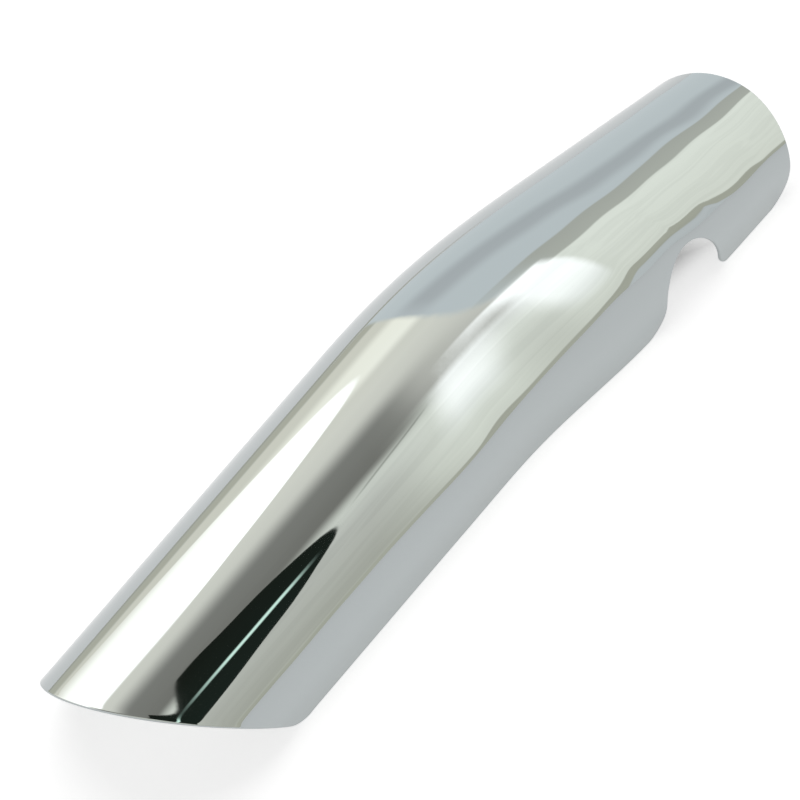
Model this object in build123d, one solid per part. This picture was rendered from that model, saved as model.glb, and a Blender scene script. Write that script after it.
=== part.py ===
from build123d import *
import math
import os

# Clamp-on exhaust heat shield, in millimetres.
# X runs from the slash cut to the narrow end, Y to the far long edge, Z up.
# The shell lies on its two long edges. X and Y are measured from the foot of the slash cut on the near edge,
# until the finished pieces are moved to stand on the middle of their own base.

# Sheet and cross-section: a half round on two short straight legs.
sheet = 1.0
leg_height = 3.6

# Plan of the pressing: a tapered wide run, a bend that swells, and a tapered narrow run.
wide_length = 107.0
bend_length = 76.0
narrow_length = 64.3
foot_radius = 29.5
swell_radius = 31.5
shoulder_radius = 30.9
end_radius = 25.9
bend_shift = 7.2
narrow_turn = 6.0

# Slash cut at the wide end: the crown reaches past the feet, and the far side past the near side.
slash_lean = 48.4
slash_skew = 15.2
slash_foot_round = 15.0

# Narrow end: the crown reaches a little past the feet, which are rounded.
end_lean = 11.3
end_foot_round = 13.0

# Round notch in the near long edge, with a wide lip on one side and a tight lip beside the narrow end.
notch_to_end = 54.4
notch_radius = 14.6
notch_height = 3.3
notch_wide_lip = 12.0
notch_tight_lip = 5.5

# Clamp bridges: bent strips welded under the crown, with room for a clamp band between strip and shell.
strip_gauge = 1.2
strip_width = 12.0
strip_bend = 1.0
band_slot_width = 14.5
band_slot_height = 6.2
strip_foot = 9.0
wide_bridge_x = 40.0
narrow_bridge_x = 222.0

# The lofted bend reaches this far into the straight runs, through sections at most this far apart.
bend_lead = 9.0
section_gap = 16.0

# Room that the cutting tools keep past the sheet, and how far under the long edges their rounds run out.
overrun = 8.0
run_out = 0.1

bend_end = wide_length + bend_length
narrow_foot = bend_end + narrow_length
wide_taper = (swell_radius - foot_radius) / wide_length
narrow_taper = (end_radius - shoulder_radius) / narrow_length
narrow_drift = -math.tan(math.radians(narrow_turn))
tallest = leg_height + max(foot_radius, swell_radius, shoulder_radius, end_radius) + overrun
widest = 2 * tallest
slash_tip = -tallest * math.tan(math.radians(slash_lean)) - widest * math.tan(math.radians(slash_skew))
end_tip = narrow_foot + tallest * math.tan(math.radians(end_lean))


def along_pressing(x, wide_value, wide_slope, narrow_value, narrow_slope):
    """Value and slope at x of a size that is straight along both runs and blends through the bend."""
    if x <= wide_length:
        return wide_value + wide_slope * (x - wide_length), wide_slope
    if x >= bend_end:
        return narrow_value + narrow_slope * (x - bend_end), narrow_slope
    t = (x - wide_length) / bend_length
    rise = narrow_value - wide_value
    leave = wide_slope * bend_length
    arrive = narrow_slope * bend_length
    value = wide_value + rise * t * t * (3 - 2 * t) + leave * t * (1 - t) ** 2 + arrive * t * t * (t - 1)
    slope = 6 * rise * t * (1 - t) + leave * (1 - t) * (1 - 3 * t) + arrive * t * (3 * t - 2)
    return value, slope / bend_length


def radius_at(x):
    """Outer radius of the half round, and its taper."""
    return along_pressing(x, swell_radius, wide_taper, shoulder_radius, narrow_taper)


def middle_at(x):
    """Y of the half round's middle, and the drift of its axis. The wide run's near edge is on Y = 0."""
    wide_middle = swell_radius / math.hypot(1, wide_taper)
    return along_pressing(x, wide_middle, wide_taper, wide_middle - bend_shift, narrow_drift)


def section_plane(x, z=0.0):
    """Plane square to the pressing's axis at x, with its own X across the shield and its own Y up."""
    middle, drift = middle_at(x)
    return Plane(origin=(x, middle, z), x_dir=(-drift, 1, 0), z_dir=(1, drift, 0))


def section(x, inset, floor):
    """Closed half-round section at x, moved in from the outer face by the inset, down to the floor."""
    half = radius_at(x)[0] - inset
    outline = [
        Line((-half, floor), (-half, leg_height)),
        ThreePointArc((-half, leg_height), (0, leg_height + half), (half, leg_height)),
        Line((half, leg_height), (half, floor)),
        Line((half, floor), (-half, floor)),
    ]
    return section_plane(x) * make_face(outline)


def straight_run(start, end, inset, floor):
    """Half cone between two places on a straight run, standing on its legs."""
    first = section_plane(start, leg_height)
    last = section_plane(end, leg_height)
    near_first = first.from_local_coords((inset - radius_at(start)[0], 0, 0))
    near_last = last.from_local_coords((inset - radius_at(end)[0], 0, 0))
    far_first = first.from_local_coords((radius_at(start)[0] - inset, 0, 0))
    far_last = last.from_local_coords((radius_at(end)[0] - inset, 0, 0))
    axis = Axis(first.origin, last.origin - first.origin)
    far_half = make_face(Polyline(first.origin, far_first, far_last, last.origin, close=True))
    legs = make_face(Polyline(near_first, far_first, far_last, near_last, close=True))
    return revolve(far_half, axis, 180) + extrude(legs, amount=leg_height - floor, dir=(0, 0, -1))


def block(inset, floor=0.0):
    """Solid under the sheet's face at the given inset: two straight runs joined by the lofted bend."""
    wide_joint = wide_length - bend_lead
    narrow_joint = bend_end + bend_lead
    count = math.ceil((narrow_joint - wide_joint) / section_gap)
    places = [wide_joint + (narrow_joint - wide_joint) * step / count for step in range(count + 1)]
    bend = loft([section(x, inset, floor) for x in places])
    wide = straight_run(slash_tip - overrun, wide_joint, inset, floor)
    return wide + bend + straight_run(narrow_joint, end_tip + overrun, inset, floor)


def side_plane(x, y):
    """Plane of a side outline, with its own X along the shield and its own Y up."""
    return Plane(origin=(x, y, 0), x_dir=(1, 0, 0), z_dir=(0, -1, 0))


def end_profile(lean_angle, foot_round, foot_x, side, far_x):
    """Side outline of what lies past a leaning end cut, with the round where the cut meets the long edge."""
    lean = math.radians(lean_angle)
    run = foot_round * math.tan((math.pi / 2 - lean) / 2)
    corner = foot_x - side * run_out * math.tan(lean)
    on_edge = (corner - side * run, -run_out)
    on_cut = (corner + side * run * math.sin(lean), run * math.cos(lean) - run_out)
    top = (foot_x + side * tallest * math.tan(lean), tallest)
    outline = [
        TangentArc(on_edge, on_cut, tangent=(side, 0)),
        Polyline(on_cut, top, (far_x, tallest), (far_x, -overrun), (on_edge[0], -overrun), on_edge),
    ]
    return make_face(outline)


def slash_cutter():
    """Wedge past the slash cut, pushed across along the skew."""
    skew = math.tan(math.radians(slash_skew))
    outline = end_profile(slash_lean, slash_foot_round, 0.0, -1, slash_tip - widest)
    profile = side_plane(skew * overrun, -overrun) * outline
    return extrude(profile, amount=widest * math.hypot(1, skew), dir=(-skew, 1, 0))


def end_cutter():
    """Block past the narrow end."""
    outline = end_profile(end_lean, end_foot_round, narrow_foot, 1, end_tip + widest)
    return extrude(side_plane(0, -tallest) * outline, amount=-2 * widest)


def lip(x, side, radius):
    """Middle of a lip's round beside the notch at x, and how far its touching point is tipped, in degrees."""
    height = radius - run_out
    reach = math.sqrt((notch_radius + radius) ** 2 - (notch_height - height) ** 2)
    tip = math.degrees(math.atan2(notch_height - height, reach))
    return (x + side * reach, height), tip


def notch_cutter():
    """Round punch through the near wall, running out to the edge in two rounded lips."""
    x = narrow_foot - notch_to_end
    wide, wide_tip = lip(x, -1, notch_wide_lip)
    tight, tight_tip = lip(x, 1, notch_tight_lip)
    outline = [
        CenterArc(wide, notch_wide_lip, -90, 90 + wide_tip),
        CenterArc((x, notch_height), notch_radius, 180 + wide_tip, -180 - wide_tip - tight_tip),
        CenterArc(tight, notch_tight_lip, 180 - tight_tip, 90 + tight_tip),
        Polyline((tight[0], -run_out), (tight[0], -overrun), (wide[0], -overrun), (wide[0], -run_out)),
    ]
    return extrude(side_plane(0, -tallest) * make_face(outline), amount=-tallest - middle_at(x)[0])


def strip_profile():
    """Half of the bent strip's outline, from the middle of its bridge to the end of one foot."""
    web = band_slot_width / 2
    back = web + strip_gauge
    low = -band_slot_height
    under = low - strip_gauge
    corners = [(0, low), (web, low), (web, 0), (back + strip_foot, 0), (back + strip_foot, -strip_gauge)]
    corners += [(back, -strip_gauge), (back, under), (0, under)]
    half = make_face(Polyline(*corners, close=True))
    bends = {(web, low): strip_bend, (back, under): strip_bend + strip_gauge}
    bends |= {(web, 0): strip_bend + strip_gauge, (back, -strip_gauge): strip_bend}
    for corner, radius in bends.items():
        half = fillet(half.vertices().sort_by_distance((*corner, 0))[0], radius)
    return half


def clamp_bridge(x):
    """Bent strip turned about the pressing's axis, so that its feet lie on the inner face of the shell."""
    middle, drift = middle_at(x)
    radius, taper = radius_at(x)
    crown = Vector(x, middle, leg_height + radius - sheet)
    along = Vector(1, drift, taper)
    plane = Plane(origin=crown, x_dir=along, z_dir=along.cross(Vector(0, 0, 1)))
    half = strip_profile()
    strip = plane * (half + mirror(half, about=Plane.YZ))
    axis = Axis((x, middle, leg_height), (1, drift, 0))
    spread = 2 * math.degrees(math.asin(strip_width / 2 / (radius - sheet)))
    return revolve(strip, axis, spread).rotate(axis, -spread / 2)


shell = block(0.0) - block(sheet, -overrun) - slash_cutter() - end_cutter() - notch_cutter()
pieces = {
    "shield_shell": shell,
    "wide_clamp_bridge": clamp_bridge(wide_bridge_x),
    "narrow_clamp_bridge": clamp_bridge(narrow_bridge_x),
}

base = shell.bounding_box()
to_base = Pos(-(base.min.X + base.max.X) / 2, -(base.min.Y + base.max.Y) / 2, -base.min.Z)
os.makedirs("parts", exist_ok=True)
for name, piece in pieces.items():
    export_step(to_base * piece, f"parts/{name}.step")
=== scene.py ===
"""Exhaust heat shield: a chrome half-shell with two strip bridges welded under it, in a soft light tent."""
import logging
import math
from collections.abc import Callable
from dataclasses import dataclass, field
from enum import Enum

import bpy
import numpy as np
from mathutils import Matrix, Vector


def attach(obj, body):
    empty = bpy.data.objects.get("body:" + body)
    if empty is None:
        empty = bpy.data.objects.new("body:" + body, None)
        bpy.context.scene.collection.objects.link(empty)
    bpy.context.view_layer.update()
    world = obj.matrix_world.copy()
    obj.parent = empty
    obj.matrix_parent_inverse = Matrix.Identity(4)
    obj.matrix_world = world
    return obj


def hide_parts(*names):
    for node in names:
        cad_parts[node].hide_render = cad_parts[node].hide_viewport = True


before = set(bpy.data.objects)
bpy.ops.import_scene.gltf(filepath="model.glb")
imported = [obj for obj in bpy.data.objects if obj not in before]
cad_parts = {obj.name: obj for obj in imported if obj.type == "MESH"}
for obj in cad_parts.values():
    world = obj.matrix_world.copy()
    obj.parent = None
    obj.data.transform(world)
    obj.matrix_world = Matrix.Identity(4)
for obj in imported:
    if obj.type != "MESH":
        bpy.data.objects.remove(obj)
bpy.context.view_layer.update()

log = logging.getLogger("heat_shield")

MM = 0.001
IMAGE_SIDE = 800
WHITE = (1.0, 1.0, 1.0)

# A cut gives its X from Y and Z.
Cut = Callable[[np.ndarray, np.ndarray], np.ndarray]


class Edge(Enum):
    """Long side of the shield, by the sign of Y from its middle line."""

    NEAR = -1
    FAR = 1


class Skin(Enum):
    """Face of the sheet, by the material index that it takes."""

    OUTSIDE = 0
    INSIDE = 1


class NodeTree:
    """Short way to add and join the nodes of one material or world."""

    def __init__(self, owner: bpy.types.Material | bpy.types.World) -> None:
        """Empties the owner's node tree.

        Args:
            owner: Material or world whose nodes are made.
        """
        owner.use_nodes = True
        self.tree = owner.node_tree
        self.tree.nodes.clear()

    def add(self, kind: str, settings: dict | None = None, **inputs: object) -> bpy.types.Node:
        """Adds a node.

        Args:
            kind: Blender's name of the node type.
            settings: Attributes of the node itself.
            inputs: Values or sockets to link, by input name with underscores for spaces, or i0, i1 by number.

        Returns:
            The new node.
        """
        node = self.tree.nodes.new(kind)
        for name, value in (settings or {}).items():
            setattr(node, name, value)
        for name, value in inputs.items():
            is_number = name[0] == "i" and name[1:].isdigit()
            socket = node.inputs[int(name[1:])] if is_number else node.inputs[name.replace("_", " ")]
            if isinstance(value, bpy.types.NodeSocket):
                self.tree.links.new(value, socket)
            else:
                socket.default_value = value
        return node

    def math(self, operation: str, first: object, second: object = 0.0) -> bpy.types.NodeSocket:
        """Adds a math node and returns its result."""
        return self.add("ShaderNodeMath", {"operation": operation}, i0=first, i1=second).outputs[0]

    def ramp(
        self, value: object, low: float, high: float, start: float = 0.0, end: float = 1.0
    ) -> bpy.types.NodeSocket:
        """Maps a value smoothly.

        Args:
            value: Number or socket to map.
            low: Value that gives the start.
            high: Value that gives the end.
            start: Result at and below the low value.
            end: Result at and above the high value.

        Returns:
            Socket of the result.
        """
        settings = {"interpolation_type": "SMOOTHSTEP"}
        limits = {"From_Min": low, "From_Max": high, "To_Min": start, "To_Max": end}
        return self.add("ShaderNodeMapRange", settings, Value=value, **limits).outputs[0]

    def mix(self, share: object, first: object, second: object) -> bpy.types.NodeSocket:
        """Mixes two colours.

        Args:
            share: Share of the second colour.
            first: First colour or its socket.
            second: Second colour or its socket.

        Returns:
            Socket of the mixed colour.
        """
        node = self.add("ShaderNodeMix", {"data_type": "RGBA"}, i0=share)
        for socket, value in ((node.inputs[6], first), (node.inputs[7], second)):
            if isinstance(value, bpy.types.NodeSocket):
                self.tree.links.new(value, socket)
            else:
                socket.default_value = value
        return node.outputs[2]

    def close(self, shader: bpy.types.Node, world: bool = False) -> None:
        """Joins a shader to the tree's output."""
        output = self.add("ShaderNodeOutputWorld" if world else "ShaderNodeOutputMaterial")
        self.tree.links.new(shader.outputs[0], output.inputs["Surface"])


def rgba(colour: tuple[float, float, float]) -> tuple[float, float, float, float]:
    """Colour with full alpha."""
    return (*colour, 1.0)


@dataclass(frozen=True)
class MetalFinish:
    """Metal surface with roughness and a fine relief that vary over it."""

    name: str
    colour: tuple[float, float, float]
    roughness: tuple[float, float]
    patch_scale: tuple[float, float, float]
    grain_scale: float
    relief: float
    relief_depth: float
    patch_detail: float = 3.0
    patch_range: tuple[float, float] = (0.3, 0.7)
    grain_detail: float = 2.0

    def material(self) -> bpy.types.Material:
        """Makes the material.

        Returns:
            Metal whose roughness drifts in patches and whose grain is a shallow bump.
        """
        made = bpy.data.materials.new(self.name)
        nodes = NodeTree(made)
        place = nodes.add("ShaderNodeTexCoord").outputs["Object"]
        drawn = nodes.add("ShaderNodeMapping", Vector=place, Scale=self.patch_scale).outputs[0]
        noise = "ShaderNodeTexNoise"
        patches = nodes.add(noise, Vector=drawn, Scale=1.0, Detail=self.patch_detail)
        rough = nodes.ramp(patches.outputs["Fac"], *self.patch_range, *self.roughness)
        grain = nodes.add(noise, Vector=drawn, Scale=self.grain_scale, Detail=self.grain_detail)
        height = grain.outputs["Fac"]
        relief = nodes.add("ShaderNodeBump", Height=height, Strength=self.relief, Distance=self.relief_depth)
        shader = nodes.add(
            "ShaderNodeBsdfPrincipled",
            Base_Color=rgba(self.colour),
            Metallic=1.0,
            Roughness=rough,
            Normal=relief.outputs[0],
        )
        nodes.close(shader)
        return made


CHROME = MetalFinish(
    name="bright_chrome_plate",
    colour=(0.50, 0.535, 0.54),
    roughness=(0.012, 0.03),
    patch_scale=(18.0, 40.0, 40.0),
    grain_scale=14.0,
    relief=0.006,
    relief_depth=0.0002,
)
INSIDE_PLATE = MetalFinish(
    name="dull_inside_plate",
    colour=(0.50, 0.51, 0.50),
    roughness=(0.22, 0.38),
    patch_scale=(25.0, 120.0, 120.0),
    grain_scale=9.0,
    relief=0.10,
    relief_depth=0.0003,
)
STRIP_STEEL = MetalFinish(
    name="bent_strip_steel",
    colour=(0.48, 0.48, 0.47),
    roughness=(0.26, 0.42),
    patch_scale=(60.0, 900.0, 900.0),
    grain_scale=3.0,
    relief=0.15,
    relief_depth=0.0002,
)
WELD_STEEL = MetalFinish(
    name="spot_weld_steel",
    colour=(0.36, 0.34, 0.32),
    roughness=(0.35, 0.55),
    patch_scale=(400.0, 400.0, 400.0),
    grain_scale=4.0,
    relief=0.2,
    relief_depth=0.0002,
)


@dataclass
class Pressing:
    """Form of the pressed sheet in millimetres, in the frame of the foot of its slash cut on the near edge.

    Along X it has a tapered wide run, a bend that swells, and a tapered narrow run.
    """

    leg_height: float = 3.6
    wide_length: float = 107.0
    bend_length: float = 76.0
    narrow_length: float = 64.3
    foot_radius: float = 29.5
    swell_radius: float = 31.5
    shoulder_radius: float = 30.9
    end_radius: float = 25.9
    bend_shift: float = 7.2
    narrow_turn: float = 6.0
    bend_ease: float = 12.0

    def __post_init__(self) -> None:
        """Works out the tapers and the places where the runs end."""
        self.bend_end = self.wide_length + self.bend_length
        self.narrow_foot = self.bend_end + self.narrow_length
        self.wide_taper = (self.swell_radius - self.foot_radius) / self.wide_length
        self.narrow_taper = (self.end_radius - self.shoulder_radius) / self.narrow_length
        self.narrow_drift = -math.tan(math.radians(self.narrow_turn))
        self.wide_middle = self.swell_radius / math.hypot(1, self.wide_taper)

    def blend(
        self, x: np.ndarray, wide: tuple[float, float], narrow: tuple[float, float]
    ) -> tuple[np.ndarray, np.ndarray]:
        """Value and slope of a size that is straight along both runs and blends through the bend.

        Args:
            x: Places along the pressing.
            wide: Value at the wide run's end, and slope of the wide run.
            narrow: Value at the narrow run's start, and slope of the narrow run.

        Returns:
            Values and slopes at the places.
        """
        start = self.wide_length - self.bend_ease
        length = self.bend_length + 2 * self.bend_ease
        first = wide[0] - wide[1] * self.bend_ease
        last = narrow[0] + narrow[1] * self.bend_ease
        t = np.clip((x - start) / length, 0, 1)
        rise = t**3 * (10 - 15 * t + 6 * t * t)
        leave = t - t**3 * (6 - 8 * t + 3 * t * t)
        arrive = -(t**3) * (4 - 7 * t + 3 * t * t)
        value = first + (last - first) * rise + length * (wide[1] * leave + narrow[1] * arrive)
        value = value + wide[1] * np.minimum(x - start, 0) + narrow[1] * np.maximum(x - start - length, 0)
        rise_slope = 30 * t * t * (1 - t) ** 2
        leave_slope = 1 - t * t * (18 - 32 * t + 15 * t * t)
        arrive_slope = -t * t * (12 - 28 * t + 15 * t * t)
        slope = (last - first) * rise_slope / length + wide[1] * leave_slope + narrow[1] * arrive_slope
        return value, slope

    def radius(self, x: np.ndarray) -> tuple[np.ndarray, np.ndarray]:
        """Outer radius of the half round, and its taper."""
        return self.blend(x, (self.swell_radius, self.wide_taper), (self.shoulder_radius, self.narrow_taper))

    def middle(self, x: np.ndarray) -> tuple[np.ndarray, np.ndarray]:
        """Y of the half round's middle, and the drift of its axis."""
        narrow_middle = self.wide_middle - self.bend_shift
        return self.blend(x, (self.wide_middle, self.wide_taper), (narrow_middle, self.narrow_drift))

    def point(self, x: np.ndarray, across: np.ndarray, up: np.ndarray, radius: np.ndarray) -> np.ndarray:
        """Places on a section's half round.

        Args:
            x: Place of the section along the pressing.
            across: Cosine of the angle round the section, towards the far edge.
            up: Height over the legs' top as a share of the radius, or, below it, in millimetres and negative.
            radius: Radius at the place.

        Returns:
            One row of X, Y and Z for each place.
        """
        middle, drift = self.middle(x)
        length = np.hypot(1, drift)
        reach = radius * across
        height = self.leg_height + np.where(up > 0, radius * up, up)
        return np.stack([x - reach * drift / length, middle + reach / length, height], -1)


@dataclass
class Cuts:
    """Edges of the sheet in millimetres, drawn in from the solid's edges by the round of the sheet's edge."""

    form: Pressing
    edge_round: float = 0.3
    run_out: float = 0.1
    slash_lean: float = 48.4
    slash_skew: float = 15.2
    slash_foot_round: float = 15.0
    end_lean: float = 11.3
    end_foot_round: float = 13.0
    notch_to_end: float = 54.4
    notch_radius: float = 14.6
    notch_height: float = 3.3
    notch_wide_lip: float = 12.0
    notch_tight_lip: float = 5.5

    def __post_init__(self) -> None:
        """Works out the notch's place and the height of its top."""
        self.notch_x = self.form.narrow_foot - self.notch_to_end
        self.notch_top = self.notch_height + self.notch_radius + self.edge_round

    def leaning(self, z: np.ndarray, lean_angle: float, foot_round: float) -> np.ndarray:
        """How far a leaning cut lies past its foot at a height, with the round at its foot.

        Args:
            z: Heights.
            lean_angle: Lean of the cut from upright, in degrees.
            foot_round: Radius of the round.

        Returns:
            Distances along X.
        """
        lean = math.radians(lean_angle)
        run = foot_round * math.tan((math.pi / 2 - lean) / 2)
        middle_x = -self.run_out * math.tan(lean) - run
        middle_z = foot_round - self.run_out
        radius = foot_round - self.edge_round
        drop = np.clip(middle_z - z, 0, radius)
        straight = z * math.tan(lean) - self.edge_round / math.cos(lean)
        rounded = middle_x + np.sqrt(radius**2 - drop**2)
        round_top = run * math.cos(lean) - self.run_out + self.edge_round * math.sin(lean)
        return np.where(z > round_top, straight, rounded)

    def slash(self, y: np.ndarray, z: np.ndarray) -> np.ndarray:
        """X of the slash cut at places across and up."""
        skew = math.tan(math.radians(self.slash_skew))
        return -self.leaning(z, self.slash_lean, self.slash_foot_round) - y * skew

    def end(self, y: np.ndarray, z: np.ndarray) -> np.ndarray:
        """X of the narrow end at places across and up."""
        return self.form.narrow_foot + self.leaning(z, self.end_lean, self.end_foot_round) + 0 * y

    def notch(self, z: np.ndarray, side: int, lip: float) -> np.ndarray:
        """X of one side of the notch at a height.

        Args:
            z: Height.
            side: -1 for the side towards the wide end, 1 for the other.
            lip: Radius of the lip on that side.

        Returns:
            X of the notch's edge.
        """
        lip_z = lip - self.run_out
        lip_x = math.sqrt((self.notch_radius + lip) ** 2 - (self.notch_height - lip_z) ** 2)
        share = (self.notch_radius + self.edge_round) / (self.notch_radius + lip)
        touch = self.notch_height + share * (lip_z - self.notch_height)
        round_radius = self.notch_radius + self.edge_round
        rise = np.clip(z - self.notch_height, -round_radius, round_radius)
        lip_radius = lip - self.edge_round
        drop = np.clip(lip_z - z, 0, lip_radius)
        on_lip = lip_x - np.sqrt(lip_radius**2 - drop**2)
        reach = np.where(z >= touch, np.sqrt(round_radius**2 - rise**2), on_lip)
        return self.notch_x + side * reach

    def wide_lip(self, y: np.ndarray, z: np.ndarray) -> np.ndarray:
        """X of the notch's side towards the wide end, or of its top above it."""
        return np.where(z < self.notch_top, self.notch(z, -1, self.notch_wide_lip), self.notch_x) + 0 * y

    def tight_lip(self, y: np.ndarray, z: np.ndarray) -> np.ndarray:
        """X of the notch's side towards the narrow end, or of its top above it."""
        return np.where(z < self.notch_top, self.notch(z, 1, self.notch_tight_lip), self.notch_x) + 0 * y

    def seam(self, y: np.ndarray, z: np.ndarray) -> np.ndarray:
        """X of the line over the notch's top that the far side is divided at."""
        return self.notch_x + 0 * (y + z)


def smooth(value: np.ndarray, low: float, high: float) -> np.ndarray:
    """Rises smoothly from 0 at low to 1 at high."""
    t = np.clip((value - low) / (high - low), 0, 1)
    return t * t * (3 - 2 * t)


@dataclass(frozen=True)
class Ripple:
    """One train of shallow waves: its depth, its pace along and round the sheet, its start and its twist."""

    depth: float
    along: float
    across: float
    shift: float
    twist: float


@dataclass(frozen=True)
class Draw:
    """Shallow hollow in the near wall, or a belly where its depth is negative.

    It lies about a place along the pressing, and fades out upwards over an arc round the half round.
    """

    x: float
    depth: float
    reach: float
    arc: tuple[float, float]


@dataclass
class Waves:
    """Slight unevenness that pressing, cutting and polishing leave, in millimetres and degrees."""

    form: Pressing
    cuts: Cuts
    draws: tuple[Draw, ...] = (
        Draw(x=166.0, depth=0.85, reach=36.0, arc=(24.0, 46.0)),
        Draw(x=92.0, depth=-0.40, reach=28.0, arc=(22.0, 42.0)),
    )
    edge_share: float = 0.2
    edge_arc: tuple[float, float] = (0.0, 14.0)
    ripples: tuple[Ripple, ...] = (
        Ripple(depth=0.05, along=4.1, across=5.5, shift=0.0, twist=60.0),
        Ripple(depth=0.07, along=6.7, across=7.1, shift=1.3, twist=31.0),
        Ripple(depth=0.04, along=11.3, across=4.3, shift=2.0, twist=90.0),
    )
    girth_per_degree: float = 0.5
    calm: float = 0.12
    wake: tuple[float, float] = (130.0, 190.0)
    crown_calm: float = 0.2
    crown: tuple[float, float] = (72.0, 105.0)
    flare: float = 0.05
    flare_reach: float = 0.9

    def height(self, place: np.ndarray) -> np.ndarray:
        """How far the sheet stands out of its true form.

        Args:
            place: Rows of X, Y and Z on the true form.

        Returns:
            Distance along the outward direction.
        """
        x, y, z = place[..., 0], place[..., 1], place[..., 2]
        middle = self.form.middle(x)[0]
        around = np.degrees(np.arctan2(z - self.form.leg_height, middle - y))
        return self.drawn(x, around) + self.rippled(x, around) + self.flared(x, around, self.cuts.slash(y, z))

    def drawn(self, x: np.ndarray, around: np.ndarray) -> np.ndarray:
        """Height of the hollow and the belly in the near wall, which nearly close at the long edge.

        Args:
            x: Places along the pressing.
            around: Degrees round the half round, from the near side.

        Returns:
            Distances along the outward direction.
        """
        held = self.edge_share + (1 - self.edge_share) * smooth(around, *self.edge_arc)
        hollow = sum(
            draw.depth * np.exp(-(((x - draw.x) / draw.reach) ** 2)) * (1 - smooth(around, *draw.arc))
            for draw in self.draws
        )
        return -hollow * held

    def rippled(self, x: np.ndarray, around: np.ndarray) -> np.ndarray:
        """Height of the ripples, which grow through the bend and are calm elsewhere.

        Args:
            x: Places along the pressing.
            around: Degrees round the half round, from the near side.

        Returns:
            Distances along the outward direction.
        """
        girth = around * self.girth_per_degree
        ripple = 0.0
        for train in self.ripples:
            lengthways = np.sin(x / train.along + train.shift)
            ripple = ripple + train.depth * lengthways * np.sin(girth / train.across + x / train.twist)
        past_crown = 1 - (1 - self.crown_calm) * smooth(around, *self.crown)
        return ripple * (self.calm + (1 - self.calm) * smooth(x, *self.wake)) * past_crown

    def flared(self, x: np.ndarray, around: np.ndarray, slash: np.ndarray) -> np.ndarray:
        """Height of the slight flare that the cut leaves along the slash.

        Args:
            x: Places along the pressing.
            around: Degrees round the half round, from the near side.
            slash: X of the slash cut beside the places.

        Returns:
            Distances along the outward direction.
        """
        lean = math.cos(math.radians(self.cuts.slash_lean))
        skew = math.cos(math.radians(self.cuts.slash_skew))
        past = np.maximum(x - slash, 0) * (lean + (skew - lean) * np.sin(np.radians(around)))
        return self.flare * np.exp(-past / self.flare_reach)


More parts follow.
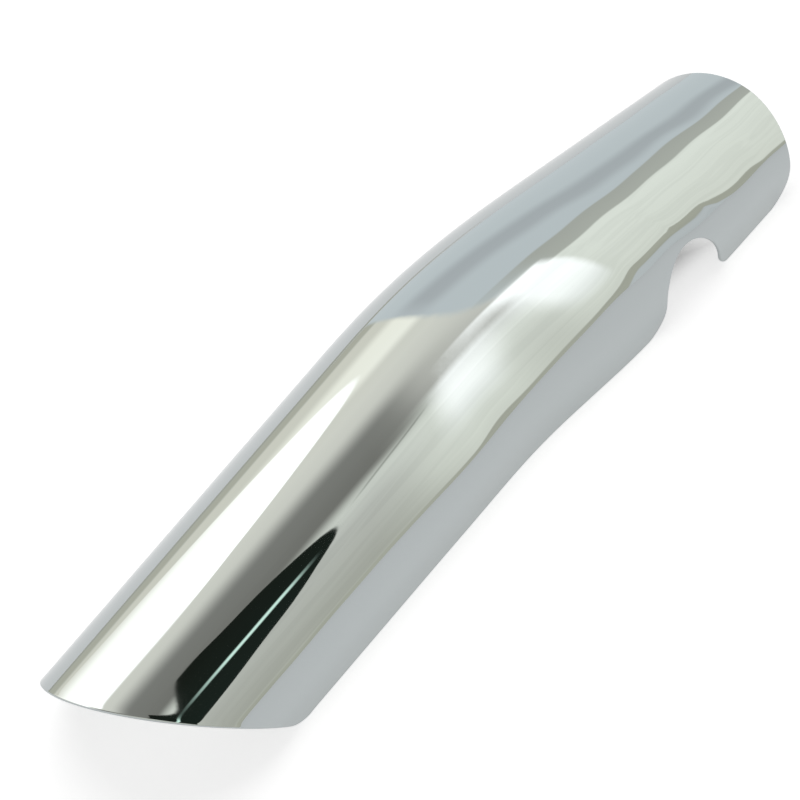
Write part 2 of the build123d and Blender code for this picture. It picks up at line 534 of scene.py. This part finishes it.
@dataclass
class ShieldShell:
    """Pressed sheet of the shield as a fine mesh: both skins and a rounded edge all round."""

    form: Pressing
    cuts: Cuts
    waves: Waves
    sheet: float = 1.0
    columns_to_notch: int = 200
    columns_past_notch: int = 48
    slash_crowding: float = 1.2
    rows_to_notch_top: int = 36
    rows_to_crown: int = 32
    solve_steps: int = 14
    slope_step: float = 0.05
    name: str = "chrome_shield_shell"
    base: np.ndarray = field(init=False)

    def rows(self) -> list[tuple[Edge, float, float]]:
        """Rows of the mesh, from the near edge over the crown to the far edge.

        Returns:
            For each row its side, its height up to the notch's top, and its share of the way on to the crown.
        """
        low, top = self.cuts.edge_round, self.cuts.notch_top
        steps = np.arange(self.rows_to_notch_top + 1) / self.rows_to_notch_top
        heights = low + (top - low) * (1 - np.cos(math.pi * steps)) / 2
        shares = np.arange(1, self.rows_to_crown + 1) / self.rows_to_crown
        side = [(height, 0.0) for height in heights] + [(top, share) for share in shares]
        near = [(Edge.NEAR, *row) for row in side]
        far = [(Edge.FAR, *row) for row in reversed(side[:-1])]
        return near + far

    def on_row(self, x: np.ndarray, row: tuple[Edge, float, float], inset: float = 0.0) -> np.ndarray:
        """Places of one row on the true form.

        Args:
            x: Places along the pressing.
            row: Row of the mesh.
            inset: How far the places are moved in.

        Returns:
            One row of X, Y and Z for each place.
        """
        edge, height, share = row
        radius = self.form.radius(x)[0]
        rise = height - self.form.leg_height
        angle = np.arcsin(np.clip(rise / radius, 0, 1))
        angle = angle + (math.pi / 2 - angle) * share
        up = np.where(rise < 0, rise, np.sin(angle)) if share == 0 else np.sin(angle)
        return self.form.point(x, edge.value * np.cos(angle), up, radius - inset)

    def meet(self, row: tuple[Edge, float, float], cut: Cut, start: float) -> float:
        """Place along a row where it meets a cut.

        Args:
            row: Row of the mesh.
            cut: Function that gives the cut's X from Y and Z.
            start: Place to search from.

        Returns:
            Place along the pressing.
        """
        x = np.array([start])
        for _ in range(self.solve_steps):
            place = self.on_row(x, row)
            x = x + cut(place[..., 1], place[..., 2]) - place[..., 0]
        return float(x[0])

    def stations(self) -> tuple[np.ndarray, np.ndarray]:
        """Places along the pressing of every vertex of the outer skin.

        Returns:
            Two grids of rows by columns, before and past the notch.
        """
        before, past = [], []
        share_before = np.linspace(0, 1, self.columns_to_notch + 1) ** self.slash_crowding
        share_past = np.linspace(0, 1, self.columns_past_notch + 1)
        for row in self.rows():
            on_near_wall = row[0] is Edge.NEAR and row[2] == 0
            slash = self.meet(row, self.cuts.slash, 0.0)
            wide_lip, tight_lip = self.cuts.seam, self.cuts.seam
            if on_near_wall:
                wide_lip, tight_lip = self.cuts.wide_lip, self.cuts.tight_lip
            left = self.meet(row, wide_lip, self.cuts.notch_x)
            right = self.meet(row, tight_lip, self.cuts.notch_x)
            end = self.meet(row, self.cuts.end, self.form.narrow_foot)
            before.append(slash + (left - slash) * share_before)
            past.append(right + (end - right) * share_past)
        return np.array(before), np.array(past)

    def surface(self) -> tuple[np.ndarray, np.ndarray]:
        """Places and outward directions of the outer skin, uneven as pressed.

        Returns:
            Two grids of rows by columns, the columns past the notch after those before it.
        """
        before, past = self.stations()
        x = np.concatenate([before, past], 1)
        rows = self.rows()
        place = np.array([self.on_row(x[i], row) for i, row in enumerate(rows)])
        inner = np.array([self.on_row(x[i], row, self.sheet) for i, row in enumerate(rows)])
        taper = self.form.radius(x)[1]
        drift = self.form.middle(x)[1]
        round_way = (place - inner) / self.sheet
        axis = np.stack([np.ones_like(x), drift, np.zeros_like(x)], -1)
        axis /= np.linalg.norm(axis, axis=-1, keepdims=True)
        out = round_way - axis * taper[..., None]
        out /= np.linalg.norm(out, axis=-1, keepdims=True)
        along = axis - out * (axis * out).sum(-1, keepdims=True)
        along /= np.linalg.norm(along, axis=-1, keepdims=True)
        across = np.cross(out, along)
        step = self.slope_step
        tilt = np.zeros_like(out)
        for way in (along, across):
            rise = self.waves.height(place + way * step) - self.waves.height(place - way * step)
            tilt += way * (rise / (2 * step))[..., None]
        uneven = place + out * self.waves.height(place)[..., None]
        out = out - tilt
        return uneven, out / np.linalg.norm(out, axis=-1, keepdims=True)

    def build(self) -> bpy.types.Object:
        """Makes the shell's mesh in the frame of the solid.

        Returns:
            The new object, centred on its own base as the solid is.
        """
        place, out = self.surface()
        count_rows, count_columns = place.shape[:2]
        split = self.columns_to_notch
        number = np.arange(count_rows * count_columns).reshape(count_rows, count_columns)
        joined = np.array([row[0] is Edge.FAR or row[2] > 0 for row in self.rows()])
        joined[self.rows_to_notch_top] = True
        number[joined, split + 1] = number[joined, split]
        used = np.unique(number)
        number = np.searchsorted(used, number)
        outer = place.reshape(-1, 3)[used]
        normal = out.reshape(-1, 3)[used]
        count = len(outer)
        blocks = (number[:, : split + 1], number[:, split + 1 :])
        outside = np.concatenate([self.quads(block) for block in blocks])
        inside = outside[:, ::-1] + count
        loop = self.loop(blocks)
        rim_places, rim_quads = self.rim(outer, normal, loop, count)
        vertices = np.concatenate([outer, outer - normal * self.sheet, rim_places])
        normals = np.concatenate([normal, -normal, np.zeros_like(rim_places)])
        self.base = (vertices.min(0) + vertices.max(0)) / 2
        self.base[2] = vertices[:, 2].min()
        faces = np.concatenate([outside, inside, rim_quads])
        mesh = bpy.data.meshes.new(self.name)
        mesh.from_pydata(((vertices - self.base) * MM).tolist(), [], faces.tolist())
        mesh.shade_smooth()
        skins = np.full(len(faces), Skin.OUTSIDE.value)
        skins[len(outside) : len(outside) + len(inside)] = Skin.INSIDE.value
        mesh.polygons.foreach_set("material_index", skins.astype(np.int32))
        mesh.update()
        mesh.normals_split_custom_set_from_vertices(normals.tolist())
        shell = bpy.data.objects.new(self.name, mesh)
        bpy.context.scene.collection.objects.link(shell)
        return shell

    @staticmethod
    def quads(block: np.ndarray) -> np.ndarray:
        """Faces between neighbouring rows and columns, facing out."""
        corners = (block[:-1, :-1], block[:-1, 1:], block[1:, 1:], block[1:, :-1])
        return np.stack([corner.ravel() for corner in corners], -1)

    def loop(self, blocks: tuple[np.ndarray, np.ndarray]) -> np.ndarray:
        """Vertices of the sheet's edge in order, from the slash cut's near foot along the near edge.

        Args:
            blocks: Grids of vertex numbers before and past the notch.

        Returns:
            Vertex numbers.
        """
        before, past = blocks
        apex = self.rows_to_notch_top
        order = [
            before[0, :-1],
            before[:apex, -1],
            past[apex:0:-1, 0],
            past[0, :-1],
            past[:-1, -1],
            past[-1, :0:-1],
            before[-1, :0:-1],
            before[:0:-1, 0],
        ]
        return np.concatenate(order)

    def rim(
        self, outer: np.ndarray, normal: np.ndarray, loop: np.ndarray, count: int
    ) -> tuple[np.ndarray, np.ndarray]:
        """Rounded edge of the sheet between its two skins.

        Args:
            outer: Places of the outer skin.
            normal: Its outward directions.
            loop: Vertices of the edge, in order.
            count: Vertices in one skin.

        Returns:
            Places of the edge's own vertices, and its faces.
        """
        place, way = outer[loop], normal[loop]
        ahead = np.roll(place, -1, 0) - np.roll(place, 1, 0)
        past_edge = np.cross(ahead, way)
        past_edge /= np.linalg.norm(past_edge, axis=1, keepdims=True)
        r, t = self.cuts.edge_round, self.sheet
        bent = r * math.sqrt(0.5)
        profile = [(bent, r - bent), (r, r), (r, t - r), (bent, t - r + bent)]
        places = np.concatenate([place + past_edge * far - way * deep for far, deep in profile])
        places[:, 2] = np.maximum(places[:, 2], 0.0)
        size = len(loop)
        first = 2 * count
        lines = [loop] + [first + k * size + np.arange(size) for k in range(len(profile))] + [loop + count]
        faces = []
        for upper, lower in zip(lines[:-1], lines[1:]):
            faces.append(np.stack([upper, lower, np.roll(lower, -1), np.roll(upper, -1)], -1))
        return places, np.concatenate(faces)

    def dress(self, shell: bpy.types.Object) -> None:
        """Gives the shell its two finishes and its place in the frame.

        Args:
            shell: Object that is dressed.
        """
        shell.data.materials.append(CHROME.material())
        shell.data.materials.append(INSIDE_PLATE.material())
        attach(shell, "root")
        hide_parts("shield_shell")


@dataclass
class StripBridges:
    """Bent strips under the crown, each at its place along the pressing in millimetres."""

    places: tuple[tuple[str, float], ...] = (
        ("wide_clamp_bridge", 40.0),
        ("narrow_clamp_bridge", 222.0),
    )

    def dress(self) -> None:
        """Gives the strips their bare steel finish."""
        steel = STRIP_STEEL.material()
        for name, _ in self.places:
            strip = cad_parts[name]
            strip.data.materials.clear()
            strip.data.materials.append(steel)
            log.info("dressed %s", name)


@dataclass
class WeldMarks:
    """Shallow dimples under the feet of a bridge, where it is spot-welded to the shell, in millimetres.

    The profile runs from the rim to the middle, as distance from the middle and height over the foot.
    """

    form: Pressing
    base: np.ndarray
    sheet: float = 1.0
    gauge: float = 1.2
    foot_middle: float = 12.95
    sides: int = 24
    profile: tuple[tuple[float, float], ...] = (
        (2.6, -0.25),
        (2.5, 0.10),
        (2.1, 0.25),
        (1.5, 0.16),
        (0.8, 0.08),
    )

    def build(self, name: str, x: float) -> bpy.types.Object:
        """Makes the marks of one bridge.

        Args:
            name: Name of the new piece.
            x: Place of the bridge along the pressing.

        Returns:
            The marks under both feet as one piece.
        """
        middle, drift = (float(value) for value in self.form.middle(np.array(x)))
        radius, taper = (float(value) for value in self.form.radius(np.array(x)))
        crown = Vector((x, middle, self.form.leg_height + radius - self.sheet))
        along = Vector((1.0, drift, taper)).normalized()
        aside = Vector((-drift, 1.0, 0.0)).normalized()
        up = along.cross(aside)
        places, faces = [], []
        for foot in (-self.foot_middle, self.foot_middle):
            first = len(places)
            for reach, height in self.profile:
                for turn in np.linspace(0, 2 * math.pi, self.sides, endpoint=False):
                    place = crown + along * (foot + reach * math.cos(turn)) - up * (self.gauge + height)
                    rise = place.z - self.form.leg_height
                    lean = reach * math.sin(turn) / rise
                    place += aside * (rise * math.sin(lean)) - Vector((0, 0, rise * (1 - math.cos(lean))))
                    places.append((place - Vector(self.base)) * MM)
            rings = first + np.arange(len(self.profile) * self.sides).reshape(-1, self.sides)
            for outer, inner in zip(rings[:-1], rings[1:]):
                faces += np.stack([inner, np.roll(inner, -1), np.roll(outer, -1), outer], -1).tolist()
            faces += [rings[-1, ::-1].tolist(), rings[0].tolist()]
        mesh = bpy.data.meshes.new(name)
        mesh.from_pydata(places, [], faces)
        mesh.shade_smooth()
        marks = bpy.data.objects.new(name, mesh)
        bpy.context.scene.collection.objects.link(marks)
        return marks

    def dress(self, marks: bpy.types.Object) -> None:
        """Gives the marks their steel and their place in the frame.

        Args:
            marks: Object that is dressed.
        """
        marks.data.materials.append(WELD_STEEL.material())
        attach(marks, "root")


@dataclass(frozen=True)
class Panel:
    """Area of the light tent that the polished metal shows.

    The span is along X in metres and the arc over the tent in degrees, from the near side of the table to
    the far. The colour runs from low to high over the arc. The bulge rounds the two ends of the span, and an
    arc that sinks moves down by so many degrees a metre past a place.
    """

    low: tuple[float, float, float]
    high: tuple[float, float, float]
    span: tuple[float, float]
    arc: tuple[float, float]
    span_blur: float = 0.006
    arc_blur: tuple[float, float] = (2.0, 2.0)
    bulge: tuple[float, float] = (0.0, 0.0)
    sink: float = 0.0
    sink_from: float = 0.0


# Half length of the tent, and the X of the edge where its wide part ends.
TENT_END = 1.6
BEND_EDGE = 0.354

# Pale cloth on the near side: the cloth, its dimmer wide end, a crease, and the bright spot at the bend.
NEAR_CLOTH = (
    Panel(
        low=(1.19, 1.19, 1.06), high=(1.34, 1.35, 1.22),
        span=(-TENT_END, TENT_END), arc=(3.0, 82.0),
        span_blur=0.10, arc_blur=(1.5, 1.5),
    ),
    Panel(
        low=(0.70, 0.69, 0.60), high=(0.92, 0.91, 0.84),
        span=(-TENT_END, 0.305), arc=(3.0, 58.0),
        span_blur=0.045, arc_blur=(3.0, 14.0),
    ),
    Panel(
        low=(0.64, 0.65, 0.58), high=(0.64, 0.65, 0.58),
        span=(0.262, 0.318), arc=(59.8, 61.2),
        span_blur=0.012, arc_blur=(0.9, 0.9),
        sink=-100.0, sink_from=0.269,
    ),
    Panel(
        low=(1.50, 1.50, 1.42), high=(2.40, 2.35, 2.31),
        span=(0.332, 0.395), arc=(30.0, 86.0),
        span_blur=0.014, arc_blur=(14.0, 6.0),
    ),
)
# Two darker bands of cloth past the bend.
BEND_SEAMS = (
    Panel(
        low=(0.74, 0.77, 0.79), high=(0.70, 0.73, 0.75),
        span=(0.36, TENT_END), arc=(112.0, 136.0),
        span_blur=0.02, arc_blur=(8.0, 9.0),
        sink=70.0, sink_from=0.62,
    ),
    Panel(
        low=(0.76, 0.76, 0.68), high=(0.70, 0.70, 0.63),
        span=(0.37, TENT_END), arc=(79.0, 97.0),
        span_blur=0.05, arc_blur=(1.2, 1.2),
    ),
)
# Grey roof over the wide run, darkest on its near side.
OVERHEAD = (
    Panel(
        low=(0.92, 0.89, 0.82), high=(1.22, 1.18, 1.06),
        span=(-TENT_END, BEND_EDGE), arc=(72.0, 122.0),
        span_blur=0.004, arc_blur=(4.0, 3.0),
    ),
    Panel(
        low=(0.31, 0.30, 0.27), high=(0.38, 0.37, 0.34),
        span=(-TENT_END, 0.320), arc=(64.0, 99.0),
        span_blur=0.040, arc_blur=(6.0, 9.0),
    ),
)
# Pale cloth on the far side of the wide run, down to its dark foot.
FAR_CLOTH = (
    Panel(
        low=(1.20, 1.16, 1.04), high=(1.10, 1.06, 0.92),
        span=(-TENT_END, BEND_EDGE), arc=(118.0, 172.0),
        span_blur=0.004, arc_blur=(3.0, 3.0),
    ),
    Panel(
        low=(1.62, 1.57, 1.40), high=(1.55, 1.50, 1.32),
        span=(-TENT_END, BEND_EDGE), arc=(131.0, 155.0),
        span_blur=0.004, arc_blur=(5.0, 6.0),
    ),
    Panel(
        low=(0.74, 0.72, 0.60), high=(0.64, 0.64, 0.57),
        span=(-TENT_END, BEND_EDGE), arc=(171.0, 200.0),
        span_blur=0.004, arc_blur=(2.0, 2.0),
    ),
)
# Bright upper corner of the spot at the bend.
BRIGHT_CORNER = (
    Panel(
        low=(1.90, 1.88, 1.84), high=(2.10, 2.06, 2.02),
        span=(0.343, 0.395), arc=(66.0, 86.5),
        span_blur=0.010, arc_blur=(5.0, 1.5),
    ),
)
# White soft box over the wide run, with a rounded end.
SOFT_BOX = (
    Panel(
        low=(2.30, 2.26, 2.20), high=(1.95, 1.90, 1.78),
        span=(-TENT_END, 0.305), arc=(115.0, 162.0),
        span_blur=0.005, arc_blur=(1.5, 12.0),
        bulge=(0.0, 0.14),
    ),
)
# Dark hem of the near cloth.
NEAR_HEM = (
    Panel(
        low=(0.66, 0.65, 0.54), high=(0.70, 0.69, 0.58),
        span=(-TENT_END, TENT_END), arc=(-6.0, 4.0),
        span_blur=0.02, arc_blur=(1.0, 1.0),
    ),
)
# Dark opening of the tent, with a slit of light in it.
LENS_OPENING = (
    Panel(
        low=(0.020, 0.030, 0.024), high=(0.016, 0.020, 0.015),
        span=(0.1275, 0.245), arc=(33.0, 76.0),
        span_blur=0.0015, arc_blur=(1.0, 1.0),
        bulge=(0.004, 0.10),
    ),
    Panel(
        low=(1.20, 1.60, 1.40), high=(1.20, 1.60, 1.40),
        span=(0.145, 0.215), arc=(50.8, 53.2),
        span_blur=0.02, arc_blur=(0.8, 0.8),
    ),
)


@dataclass
class LightTent:
    """Half-round white cloth tent over the table that only the polished metal sees."""

    radius: float = 0.5
    half_length: float = TENT_END
    facets: int = 96
    wall: tuple[float, float, float] = (0.91, 0.96, 0.98)
    under_hem: tuple[float, float, float] = (0.84, 0.86, 0.865)
    hem_blur: float = 0.5
    hem_lift: float = 15.0
    hem_rise: tuple[float, float] = (0.335, 0.43)
    hem_fall: tuple[float, float] = (0.49, 0.58)
    hem_reach: tuple[float, float] = (14.0, 70.0)
    pleat_lift: float = 5.0
    pleat_x: float = 0.512
    pleat_half: float = 0.012
    fold_pace: tuple[float, float] = (6.0, 0.10)
    fold_depth: float = 0.03
    fold_end: tuple[float, float] = (74.0, 84.0)
    fold_detail: float = 2.0
    fold_twist: float = 1.4
    fold_range: tuple[float, float] = (0.35, 0.65)
    panels: tuple[Panel, ...] = (
        NEAR_CLOTH + BEND_SEAMS + OVERHEAD + FAR_CLOTH + BRIGHT_CORNER + SOFT_BOX + NEAR_HEM + LENS_OPENING
    )
    strip_reach: tuple[float, float] = (0.25, 0.50)
    strip_end: float = 0.30
    strip_colour: tuple[float, float, float] = (0.62, 0.62, 0.54)

    def angle(self, nodes: NodeTree, parts: bpy.types.bpy_prop_collection) -> bpy.types.NodeSocket:
        """Angle over the tent in degrees, moved so that the near hem lifts past the bend.

        Args:
            nodes: Tree to add to.
            parts: Sockets of X, Y and Z.

        Returns:
            The angle's socket.
        """
        turned = nodes.math("ARCTAN2", parts["Z"], nodes.math("MULTIPLY", parts["Y"], -1.0))
        angle = nodes.math("MULTIPLY", turned, math.degrees(1.0))
        rise = nodes.ramp(parts["X"], *self.hem_rise, 0.0, self.hem_lift)
        lift = nodes.math("MULTIPLY", rise, nodes.ramp(parts["X"], *self.hem_fall, 1.0, 0.0))
        aside = nodes.math("ABSOLUTE", nodes.math("SUBTRACT", parts["X"], self.pleat_x))
        pleat = nodes.math("MAXIMUM", nodes.math("SUBTRACT", self.pleat_half, aside), 0.0)
        lift = nodes.math("ADD", lift, nodes.math("MULTIPLY", pleat, self.pleat_lift / self.pleat_half))
        lift = nodes.math("MULTIPLY", lift, nodes.ramp(angle, *self.hem_reach, 1.0, 0.0))
        return nodes.math("SUBTRACT", angle, lift)

    def share(
        self, nodes: NodeTree, panel: Panel, x: bpy.types.NodeSocket, angle: bpy.types.NodeSocket
    ) -> bpy.types.NodeSocket:
        """How much of a panel shows at a place.

        Args:
            nodes: Tree to add to.
            panel: Panel of the tent.
            x: Socket of the place along the tent.
            angle: Socket of the angle over the tent.

        Returns:
            Socket of a share from 0 to 1.
        """
        (x0, x1), (a0, a1) = panel.span, panel.arc
        (low_blur, high_blur), blur = panel.arc_blur, panel.span_blur
        past = nodes.math("DIVIDE", nodes.math("SUBTRACT", angle, (a0 + a1) / 2), (a1 - a0) / 2)
        squared = nodes.math("MULTIPLY", past, past)
        near_end = nodes.math("SUBTRACT", x, nodes.math("MULTIPLY", squared, panel.bulge[0]))
        far_end = nodes.math("ADD", x, nodes.math("MULTIPLY", squared, panel.bulge[1]))
        share = nodes.ramp(far_end, x1 - blur, x1 + blur, 1.0, 0.0)
        share = nodes.math("MULTIPLY", share, nodes.ramp(near_end, x0 - blur, x0 + blur))
        share = nodes.math("MULTIPLY", share, nodes.ramp(angle, a0 - low_blur, a0 + low_blur))
        return nodes.math("MULTIPLY", share, nodes.ramp(angle, a1 - high_blur, a1 + high_blur, 1.0, 0.0))

    def material(self) -> bpy.types.Material:
        """Makes the glow of the tent's walls and panels.

        Returns:
            The material.
        """
        made = bpy.data.materials.new("light_tent_glow")
        nodes = NodeTree(made)
        place = nodes.add("ShaderNodeTexCoord").outputs["Object"]
        parts = nodes.add("ShaderNodeSeparateXYZ", Vector=place).outputs
        angle = self.angle(nodes, parts)
        over_hem = nodes.ramp(angle, -self.hem_blur, self.hem_blur)
        colour = nodes.mix(over_hem, rgba(self.under_hem), rgba(self.wall))
        for panel in self.panels:
            sunk = nodes.math("MULTIPLY", nodes.math("SUBTRACT", parts["X"], panel.sink_from), panel.sink)
            lifted = nodes.math("ADD", angle, sunk)
            low, high = panel.arc
            step = nodes.add("ShaderNodeMapRange", Value=lifted, From_Min=low, From_Max=high).outputs[0]
            tint = nodes.mix(step, rgba(panel.low), rgba(panel.high))
            colour = nodes.mix(self.share(nodes, panel, parts["X"], lifted), colour, tint)
        along = nodes.math("MULTIPLY", parts["X"], self.fold_pace[0])
        across = nodes.math("MULTIPLY", angle, self.fold_pace[1])
        spot = nodes.add("ShaderNodeCombineXYZ", X=along, Y=across).outputs[0]
        looks = {"Scale": 1.0, "Detail": self.fold_detail, "Distortion": self.fold_twist}
        folds = nodes.add("ShaderNodeTexNoise", Vector=spot, **looks).outputs["Fac"]
        deep = nodes.ramp(folds, *self.fold_range, -self.fold_depth, self.fold_depth)
        deep = nodes.math("MULTIPLY", deep, nodes.ramp(angle, *self.fold_end, 1.0, 0.0))
        strength = nodes.math("ADD", deep, 1.0)
        nodes.close(nodes.add("ShaderNodeEmission", Color=colour, Strength=strength))
        return made

    def hide_from_view(self, piece: bpy.types.Object) -> None:
        """Makes a piece of the stage that only reflections show.

        Args:
            piece: Object that is not in the scene yet.
        """
        bpy.context.scene.collection.objects.link(piece)
        for ray in ("camera", "diffuse", "transmission", "volume_scatter", "shadow"):
            setattr(piece, f"visible_{ray}", False)

    def table_strip(self) -> bpy.types.Object:
        """Makes the darker strip where the table meets the tent's far wall.

        Returns:
            The strip as part of the stage.
        """
        near, far = self.strip_reach
        left, right, lift = -self.half_length, self.strip_end, MM
        mesh = bpy.data.meshes.new("table_strip")
        corners = [(left, near, lift), (right, near, lift), (right, far, lift), (left, far, lift)]
        mesh.from_pydata(corners, [], [(0, 1, 2, 3)])
        made = bpy.data.materials.new("table_strip_glow")
        nodes = NodeTree(made)
        nodes.close(nodes.add("ShaderNodeEmission", Color=rgba(self.strip_colour), Strength=1.0))
        mesh.materials.append(made)
        strip = bpy.data.objects.new("table_strip", mesh)
        self.hide_from_view(strip)
        return strip

    def build(self) -> bpy.types.Object:
        """Makes the tent, seen by reflections alone.

        Returns:
            The tent as part of the stage.
        """
        angles = np.linspace(0, math.pi, self.facets + 1)
        places, faces = [], []
        for angle in angles:
            y, z = -self.radius * math.cos(angle), self.radius * math.sin(angle)
            places += [(-self.half_length, y, z), (self.half_length, y, z)]
        for k in range(self.facets):
            faces.append((2 * k, 2 * k + 1, 2 * k + 3, 2 * k + 2))
        mesh = bpy.data.meshes.new("light_tent")
        mesh.from_pydata(places, [], faces)
        mesh.shade_smooth()
        mesh.materials.append(self.material())
        tent = bpy.data.objects.new("light_tent", mesh)
        self.hide_from_view(tent)
        return tent


@dataclass
class Table:
    """White table that the shield lies on, its world and the soft lamp over it."""

    half_side: float = 4.0
    shade: tuple[float, float, float] = (0.80, 0.80, 0.80)
    seen_glow: float = 0.70
    mirrored_glow: float = 0.52
    # Painted shadow: under the shield the table's glow drops to this share, in a band along the shield's
    # middle line that fades out past its open ends.
    painted_shadow_glow: float = 0.12
    painted_shadow_middle: tuple[float, float] = (0.004, -0.010)
    painted_shadow_bend: tuple[float, float] = (0.0, 0.14)
    painted_shadow_half: tuple[float, float] = (0.006, 0.026)
    painted_shadow_wide_end: tuple[float, float] = (-0.09, -0.04)
    painted_shadow_narrow_end: tuple[float, float] = (0.08, 0.13)
    world_light: float = 0.22
    lamp_power: float = 3.3
    lamp_size: float = 0.9
    lamp_place: tuple[float, float, float] = (0.10, 0.35, 0.95)

    def floor(self) -> bpy.types.Object:
        """Makes the table top, which shows white and keeps the shield's shadow from the lamp, and has a
        painted shadow under the shield where its glow is dimmed.

        Returns:
            The table top as part of the stage.
        """
        h = self.half_side
        mesh = bpy.data.meshes.new("table_top")
        mesh.from_pydata([(-h, -h, 0), (h, -h, 0), (h, h, 0), (-h, h, 0)], [], [(0, 1, 2, 3)])
        made = bpy.data.materials.new("white_table")
        nodes = NodeTree(made)
        path = nodes.add("ShaderNodeLightPath").outputs
        seen = nodes.math("MULTIPLY", path["Is Camera Ray"], self.seen_glow)
        mirrored = nodes.math("MAXIMUM", path["Is Glossy Ray"], path["Is Transmission Ray"])
        glow = nodes.math("MAXIMUM", seen, nodes.math("MULTIPLY", mirrored, self.mirrored_glow))
        # Painted shadow under the shield: the glow is dimmed by a mask drawn in the table's own coordinates,
        # not by the lamp.
        painted_shadow_factor = nodes.ramp(self.outside_painted_shadow(nodes), 0.0, 1.0, self.painted_shadow_glow, 1.0)
        glow = nodes.math("MULTIPLY", glow, painted_shadow_factor)
        matt = nodes.add("ShaderNodeBsdfDiffuse", Color=rgba(self.shade))
        light = nodes.add("ShaderNodeEmission", Color=rgba(WHITE), Strength=glow)
        nodes.close(nodes.add("ShaderNodeAddShader", i0=matt.outputs[0], i1=light.outputs[0]))
        mesh.materials.append(made)
        floor = bpy.data.objects.new("table_top", mesh)
        bpy.context.scene.collection.objects.link(floor)
        return floor

    def outside_painted_shadow(self, nodes: NodeTree) -> bpy.types.NodeSocket:
        """Painted shadow under the shield: how much of the table's glow a place keeps, least deep under the
        shield, in a band along its middle line between its open ends.

        Args:
            nodes: Tree to add to.

        Returns:
            Socket of a share from 0 to 1.
        """
        place = nodes.add("ShaderNodeTexCoord").outputs["Object"]
        parts = nodes.add("ShaderNodeSeparateXYZ", Vector=place).outputs
        middle = nodes.ramp(parts["X"], *self.painted_shadow_bend, *self.painted_shadow_middle)
        aside = nodes.math("ABSOLUTE", nodes.math("SUBTRACT", parts["Y"], middle))
        past_wide = nodes.ramp(parts["X"], *self.painted_shadow_wide_end, 1.0, 0.0)
        past_end = nodes.math("MAXIMUM", past_wide, nodes.ramp(parts["X"], *self.painted_shadow_narrow_end))
        return nodes.math("MAXIMUM", nodes.ramp(aside, *self.painted_shadow_half), past_end)

    def light(self) -> bpy.types.Object:
        """Sets the white world and one wide soft lamp.

        Returns:
            The lamp.
        """
        world = bpy.data.worlds.new("white_studio")
        bpy.context.scene.world = world
        nodes = NodeTree(world)
        path = nodes.add("ShaderNodeLightPath").outputs
        seen = nodes.math("MAXIMUM", path["Is Camera Ray"], path["Is Glossy Ray"])
        seen = nodes.math("MAXIMUM", seen, path["Is Transmission Ray"])
        strength = nodes.ramp(seen, 0.0, 1.0, self.world_light, 1.0)
        sky = nodes.add("ShaderNodeBackground", Color=rgba(WHITE), Strength=strength)
        nodes.close(sky, world=True)
        lamp = bpy.data.lights.new("soft_lamp", "AREA")
        lamp.shape = "DISK"
        lamp.size = self.lamp_size
        lamp.energy = self.lamp_power
        hung = bpy.data.objects.new("soft_lamp", lamp)
        hung.location = self.lamp_place
        hung.rotation_mode = "QUATERNION"
        hung.rotation_quaternion = (-Vector(self.lamp_place)).to_track_quat("-Z", "Y")
        hung.visible_glossy = False
        bpy.context.scene.collection.objects.link(hung)
        return hung


@dataclass
class StudioCamera:
    """Camera at the photograph's place, in metres and degrees."""

    place: tuple[float, float, float] = (-0.53345, -0.33060, 0.63264)
    azimuth: float = -57.50
    elevation: float = 44.58
    focal_pixels: float = 3245.2
    sensor: float = 36.0
    near_clip: float = 0.01

    def build(self) -> bpy.types.Object:
        """Makes the camera and hands it to the scene.

        Returns:
            The camera.
        """
        data = bpy.data.cameras.new("studio_camera")
        data.sensor_width = self.sensor
        data.lens = self.focal_pixels * self.sensor / IMAGE_SIDE
        data.clip_start = self.near_clip
        camera = bpy.data.objects.new("studio_camera", data)
        a, e = math.radians(self.azimuth), math.radians(self.elevation)
        ahead = Vector((-math.sin(a) * math.cos(e), math.cos(a) * math.cos(e), -math.sin(e)))
        camera.location = self.place
        camera.rotation_mode = "QUATERNION"
        camera.rotation_quaternion = ahead.to_track_quat("-Z", "Y")
        bpy.context.scene.collection.objects.link(camera)
        bpy.context.scene.camera = camera
        return camera


def main() -> None:
    """Builds the camera, the stage, the shell and the bridges in order."""
    logging.basicConfig(level=logging.INFO, format="%(name)s: %(message)s")
    bpy.context.scene.view_settings.view_transform = "Standard"
    table, tent = Table(), LightTent()
    stage = [StudioCamera().build(), table.floor(), table.light(), tent.build(), tent.table_strip()]
    for piece in stage:
        log.info("set up %s", piece.name)
    form = Pressing()
    cuts = Cuts(form)
    shell = ShieldShell(form, cuts, Waves(form, cuts))
    made = shell.build()
    shell.dress(made)
    log.info("built %s with %d faces", made.name, len(made.data.polygons))
    bridges = StripBridges()
    bridges.dress()
    welds = WeldMarks(form, shell.base)
    for name, x in bridges.places:
        marks = welds.build(f"{name}_weld_marks", x)
        welds.dress(marks)
        log.info("built %s", marks.name)


if __name__ == "__main__":
    main()
